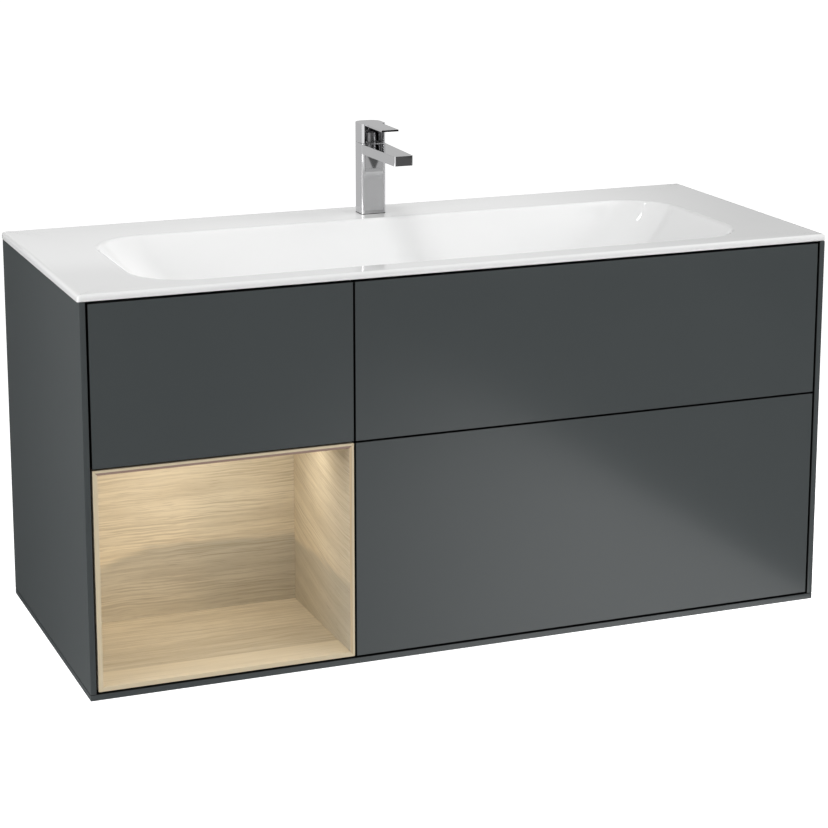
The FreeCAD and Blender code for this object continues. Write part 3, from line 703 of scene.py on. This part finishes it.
def tap_body(material):
    """Column with its bores, joined to the flat spout, which takes the aerator from below."""
    low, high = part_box("tap_body")
    tap_y = high.y - (high.x - low.x) / 2
    piece = skin("tap_column_and_spout", [
        circle(0, tap_y, shank_bore_radius, low.z + shank_bore_depth),
        circle(0, tap_y, shank_bore_radius, low.z),
        tap_ring(low, high, 0, low.z),
        tap_ring(low, high, 0, high.z),
        circle(0, tap_y, cartridge_radius, high.z),
        circle(0, tap_y, cartridge_radius, high.z - cartridge_bore_depth)])
    spout_top = high.z - spout_top_step
    plan = outline(-spout_tip_width / 2, spout_tip_width / 2, low.y, tap_y - cartridge_radius - overrun / 4,
                   spout_corner_radius, spout_top)
    for point in plan:
        point.x *= 1 + (spout_root_width / spout_tip_width - 1) * (point.y - low.y) / (tap_y - low.y)
    carve(piece, prism("spout", plan, Vector((0, 0, -spout_height))), "UNION")
    seat = spout_top - spout_height
    aerator_y = low.y + aerator_setback
    bore = skin("seat", [circle(0, aerator_y, aerator_radius, seat - overrun),
                         circle(0, aerator_y, aerator_radius, seat + aerator_depth)])
    carve(piece, bore, "DIFFERENCE")
    soften(piece, tap_edge_round, segments=3)
    finish_piece(piece, "tap_body", material)


def tap_lever(material):
    """Hood with the lever plate in front, hollow below an arch and relieved at the heel."""
    low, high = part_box("tap_lever")
    half = (high.x - low.x) / 2
    tap_y = high.y - half
    pivot_y = next(joint for joint in frame["joints"] if joint["name"] == "tap_lever_lift")["pos_m"][1]
    piece = skin("tap_lever_and_hood", [tap_ring(low, high, 0, low.z), tap_ring(low, high, 0, high.z)])
    plate = block("plate", (-lever_plate_width / 2, lever_plate_width / 2), (low.y, tap_y),
                  (high.z - lever_plate_thickness, high.z))
    carve(piece, plate, "UNION")
    front = tap_y - half

    def arch(share, y):
        half_width = lever_hollow_half_width + share * (lever_mouth_half_width - lever_hollow_half_width)
        centre_z = high.z - lever_arch_cover - share * (lever_mouth_cover - lever_arch_cover) - half_width
        turns = [step / corner_steps * math.pi for step in range(corner_steps + 1)]
        points = [Vector((half_width * math.cos(turn), y, centre_z + half_width * math.sin(turn)))
                  for turn in turns]
        return points + [Vector((side * half_width, y, low.z - overrun)) for side in (-1, 1)]

    hollow = skin("hollow", [arch(0, front - overrun), arch(0, high.y - lever_rear_wall)])
    carve(piece, hollow, "DIFFERENCE")
    mouth = skin("mouth", [arch(1 + overrun / lever_mouth_depth, front - overrun),
                           arch(0, front + lever_mouth_depth)])
    carve(piece, mouth, "DIFFERENCE")
    side = -half - overrun
    behind = high.y + overrun
    rise = (behind - pivot_y) * math.tan(lever_relief_angle)
    heel = [Vector((side, pivot_y, low.z - overrun)), Vector((side, pivot_y, low.z)),
            Vector((side, behind, low.z + rise)), Vector((side, behind, low.z - overrun))]
    carve(piece, prism("heel", heel, Vector((-2 * side, 0, 0))), "DIFFERENCE")
    soften(piece, lever_edge_round, segments=3)
    finish_piece(piece, "tap_lever", material)


def waste_plug(material):
    """Domed plug with a round rim, on the stem that guides it."""
    low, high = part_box("waste_plug")
    waste_y = (low.y + high.y) / 2
    underside = high.z - plug_thickness
    reach = (high.x - low.x) / 2 - plug_rim_round
    profile = [(plug_stem_radius - plug_stem_lead, low.z), (plug_stem_radius, low.z + plug_stem_lead),
               (plug_stem_radius, underside)]
    for step in range(edge_steps * 2 + 1):
        turn = (step / edge_steps - 1) * math.pi / 2
        profile.append((reach + plug_rim_round * math.cos(turn),
                        underside + plug_rim_round * (1 + math.sin(turn))))
    dome = plug_thickness - 2 * plug_rim_round
    for step in reversed(range(1, dome_steps)):
        share = step / dome_steps
        profile.append((reach * share, high.z - dome * share * share))
    piece = skin("domed_waste_plug", [circle(0, waste_y, radius, z) for radius, z in profile])
    soften(piece, fitting_edge_round)
    finish_piece(piece, "waste_plug", material)


def dress_frame(finishes, own_finishes, modelled):
    """Give every CAD node that stays its finish and its soft edges."""
    edge_of = {"slate_lacquer": board_edge_round, "carcass_board": board_edge_round,
               "drawer_board": board_edge_round, "oak_veneer": veneer_edge_round}
    covers = ("left_cover_panel", "right_cover_panel", "base_cover_panel")
    edge_of_node = dict.fromkeys(covers, cover_edge_round)
    for row in frame["record"]["subparts"]:
        node, slot = row["node"], row["material_slot"]
        if node in modelled:
            continue
        piece = frame["nodes"][node]
        piece.data.materials.clear()
        piece.data.materials.append(own_finishes.get(node) or finishes[slot])
        soften(piece, edge_of_node.get(node) or edge_of.get(slot, fitting_edge_round))


def softbox(name, place, width, height, radiance, target=unit_middle, mirrored=True):
    """Rectangular lamp of a given brightness, turned to a point, out of the camera's sight."""
    lamp = bpy.data.lights.new(name, "AREA")
    lamp.shape = "RECTANGLE"
    lamp.size = width
    lamp.size_y = height
    lamp.energy = radiance * width * height * math.pi
    made = bpy.data.objects.new(name, lamp)
    made.location = place
    made.rotation_euler = (Vector(target) - Vector(place)).to_track_quat("-Z", "Y").to_euler()
    made.visible_camera = False
    made.visible_glossy = mirrored
    bpy.context.scene.collection.objects.link(made)


def card(name, corner, along, rise, dark, bright=None, shade=None):
    """Grey or white card that only mirrors see; shade gives how it goes from dark to bright."""
    foot, side, up = Vector(corner), Vector(along), Vector(rise)
    sheet = bpy.data.meshes.new(name)
    sheet.from_pydata([foot, foot + side, foot + side + up, foot + up], [], [(0, 1, 2, 3)])
    made = bpy.data.objects.new(name, sheet)
    bpy.context.scene.collection.objects.link(made)
    cloth = new_finish(name)
    if shade is None:
        colour, strength = tint(1, 1, 1), dark
    else:
        deep, strength = dark / bright, bright
        colour = cloth.blend(shade(cloth, *cloth.axes()), tint(deep, deep, deep), tint(1, 1, 1))
    glow = cloth.node("Emission", sockets={"Color": colour, "Strength": strength})
    cloth.node("OutputMaterial", sockets={"Surface": glow})
    sheet.materials.append(cloth.owner)
    made.visible_camera = False
    made.visible_diffuse = False
    made.visible_shadow = False
    made.visible_transmission = False


def seen_directly(finish):
    """1 for rays from the camera, and for those mirrored or let through on their way."""
    seen = finish.node("LightPath", output="Is Camera Ray")
    for ray in ("Is Glossy Ray", "Is Transmission Ray"):
        seen = seen.math("MAXIMUM", seen, finish.node("LightPath", output=ray))
    return seen


def white_room():
    """White surroundings, and a pale floor that keeps a soft shadow."""
    world = bpy.data.worlds.new("white_room")
    bpy.context.scene.world = world
    room = Finish(world)
    strength = ambient + (1 - ambient) * seen_directly(room)
    shell = room.node("Background", sockets={"Color": tint(1, 1, 1), "Strength": strength})
    room.node("OutputWorld", sockets={"Surface": shell})

    size = floor_half_size
    floor = block("floor", (-size, size), (-size, size), (floor_level - floor_thickness, floor_level))
    paint = new_finish("floor_paint")
    matt = paint.node("BsdfDiffuse", sockets={"Color": tint(*floor_shade)})
    strength = floor_bounce + (floor_lift - floor_bounce) * seen_directly(paint)
    lift = paint.node("Emission", sockets={"Color": tint(1, 1, 1), "Strength": strength})
    both = paint.node("AddShader", sockets={0: matt, 1: lift})
    paint.node("OutputMaterial", sockets={"Surface": both})
    floor.data.materials.append(paint.owner)


def softboxes():
    """Soft light from around the unit, and a small lamp that the glaze mirrors as a glint."""
    softbox("key_softbox", (2.1, -2.3, 2.4), width=1.6, height=1.6, radiance=4.2, mirrored=False)
    softbox("right_softbox", (2.8, -0.5, 1.15), width=1.0, height=0.8, radiance=16.0, mirrored=False)
    softbox("top_softbox", (-0.5, -0.28, 2.3), width=0.45, height=0.45, radiance=9.0, mirrored=False)
    softbox("left_softbox", (-2.6, -0.9, 0.95), width=0.9, height=1.2, radiance=8.0)
    softbox("glint_softbox", (-0.36, -0.26, 2.3), width=0.08, height=0.16, radiance=34.0,
            target=(0.45, -0.15, 0.58))


def mirror_cards():
    """Cards that lacquer, glaze and chrome mirror: a bright floor, grey flags and a card for the tap."""
    upright = (0, 0, flag_height)

    # Each fade goes from dark to bright between two places in the room, in metres
    def floor_fade(cloth, x, y, z):
        return cloth.step(x + 0.38 * y, -0.82, 0.2) * cloth.step(y, -3.9, -1.9)

    def right_fade(cloth, x, y, z):
        return cloth.step(z, 0.27, 0.245)

    def column_fade(cloth, x, y, z):
        aside = x - 0.347
        slant = aside.math("ABSOLUTE", aside, 0.0) - 0.46 * (z - 0.503)
        return cloth.step(slant, -0.002, 0.002)

    def left_fade(cloth, x, y, z):
        return cloth.step(x, -0.60, -0.76)

    def rear_fade(cloth, x, y, z):
        level = 0.74 + 0.26 * cloth.step(z, 0.66, 0.82) - 0.36 * cloth.step(z, 0.825, 0.865)
        return cloth.step(x, 1.3, 0.55) * level * cloth.step(z, 1.40, 1.02)

    card("floor_card", (-2.6, -3.9, floor_level + floor_card_gap), along=(3.67, 0, 0), rise=(0, 3.0, 0),
         dark=0.1, bright=2.5, shade=floor_fade)
    card("front_flag", (-0.5, -3.9, floor_level), along=(1.57, 0, 0), rise=upright, dark=0.12)
    card("right_flag", (1.05, -3.9, floor_level), along=(0, 3.5, 0), rise=upright,
         dark=0.02, bright=0.12, shade=right_fade)
    card("column_card", (0.1, -1.0, 0.478), along=(0.9, 0, 0), rise=(0, 0, 0.062),
         dark=0.12, bright=0.52, shade=column_fade)
    card("left_flag", (-2.4, 0.05, floor_level), along=(1.795, 0, 0), rise=(0, 0, 0.95),
         dark=0.03, bright=0.14, shade=left_fade)
    card("rear_card", (-2.4, 0.8, floor_level), along=(5.4, 0, 0), rise=upright,
         dark=0.15, bright=0.82, shade=rear_fade)


def niche_lamp():
    """The light of the lit strip in the niche ceiling."""
    low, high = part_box("led_diffuser")
    lamp = bpy.data.lights.new("niche_strip", "AREA")
    lamp.shape = "RECTANGLE"
    lamp.size = high.x - low.x - 2 * niche_light_end
    lamp.size_y = high.y - low.y
    lamp.color = niche_light_tint
    lamp.energy = niche_light_power
    made = bpy.data.objects.new("niche_strip", lamp)
    made.location = ((low.x + high.x) / 2, (low.y + high.y) / 2, low.z - niche_light_gap)
    made.visible_camera = False
    bpy.context.scene.collection.objects.link(made)


def camera():
    """Camera at the viewing angle of the photograph."""
    data = bpy.data.cameras.new("camera")
    data.lens = camera_lens
    data.sensor_width = camera_sensor
    data.shift_x, data.shift_y = camera_shift
    made = bpy.data.objects.new("camera", data)
    made.location = camera_place
    made.rotation_euler = (math.pi / 2 - camera_pitch, 0, -camera_yaw)
    bpy.context.scene.collection.objects.link(made)
    bpy.context.scene.camera = made


def niche_grain():
    """Veneer of each niche panel, with its own grain direction."""
    back_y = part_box("niche_back_panel")[0].y
    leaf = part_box("niche_floor_panel")[1].z + oak_leaf_height
    top_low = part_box("niche_top_panel")[0]
    front = top_low.y
    right_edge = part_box("niche_right_panel")[1].x

    def upright(x, y, z):
        return z

    def lying(x, y, z):
        return y

    def cathedral(x, y, z):
        run = back_y - y
        return z + run * (oak_cathedral_rise - oak_cathedral_bend * run)

    return {"niche_back_panel": oak_veneer("oak_back", "x", upright, leaf=leaf),
            "niche_floor_panel": oak_veneer("oak_floor", "x", lying, oak_floor_tone, front=front,
                                            floor_back=back_y),
            "niche_top_panel": oak_veneer("oak_top", "x", lying, front=front, arris=top_low.z),
            "niche_left_panel": oak_veneer("oak_left", "y", upright, leaf=leaf, front=front),
            "niche_right_panel": oak_veneer("oak_right", "y", cathedral, oak_right_tone,
                                            leaf=leaf - oak_right_leaf_drop, calm=oak_right_leaf_calm,
                                            front=front, near_shade=oak_near_painted_shade,
                                            band_from=right_edge - oak_outer_band)}


bpy.context.scene.view_settings.view_transform = "Standard"
chrome = metal("chrome", (0.62, 0.62, 0.63), (0.65, 0.65, 0.66), roughness=0.015,
               stretch=(1, 1, 1), scale=14.0, relief=0.002, spread=0.015)
# painted shade: the cartridge nut and spindle in the hood's hollow are a dark metal that stands in for the
# shade in the recess
recess_shade_chrome = metal("recess_shade_chrome", (0.24, 0.24, 0.245), (0.30, 0.30, 0.305), roughness=0.30,
                    stretch=(1, 1, 1), scale=30.0, relief=0.002)
finishes = {
    "carcass_board": dark_board("carcass_board", (0.012, 0.013, 0.014), (0.020, 0.021, 0.022)),
    "glazed_ceramic": glazed_ceramic(),
    "chrome": chrome,
    "brass": metal("brass", (0.55, 0.42, 0.19), (0.66, 0.52, 0.26), roughness=0.22,
                   stretch=(1, 1, 60), scale=40.0, relief=0.06),
    "zinc_steel": zinc_steel(),
    "aluminium": metal("aluminium", (0.62, 0.62, 0.63), (0.74, 0.74, 0.75), roughness=0.28,
                       stretch=(1, 90, 90), scale=12.0, relief=0.05),
    "drawer_metal": powder_coat(),
    "drawer_board": dark_board("drawer_board", (0.095, 0.10, 0.105), (0.135, 0.14, 0.145)),
    "grey_plastic": moulded("grey_plastic", (0.19, 0.20, 0.21), (0.24, 0.25, 0.26),
                            roughness=0.42, grain=1500.0),
    "white_plastic": moulded("white_plastic", (0.72, 0.72, 0.71), (0.78, 0.78, 0.77),
                             roughness=0.40, grain=1500.0),
    "black_rubber": moulded("black_rubber", (0.014, 0.014, 0.014), (0.026, 0.026, 0.026),
                            roughness=0.62, grain=900.0),
    "light_diffuser": light_diffuser(),
}
modelled = {"basin", "tap_body", "tap_lever", "waste_plug"}
basin(finishes["glazed_ceramic"])
tap_body(chrome)
tap_lever(chrome)
waste_plug(chrome)
own_finishes = {**niche_grain(), **lacquered_boards()}
own_finishes.update(cartridge_nut=recess_shade_chrome, cartridge_spindle=recess_shade_chrome)
dress_frame(finishes, own_finishes, modelled)
white_room()
softboxes()
mirror_cards()
niche_lamp()
camera()
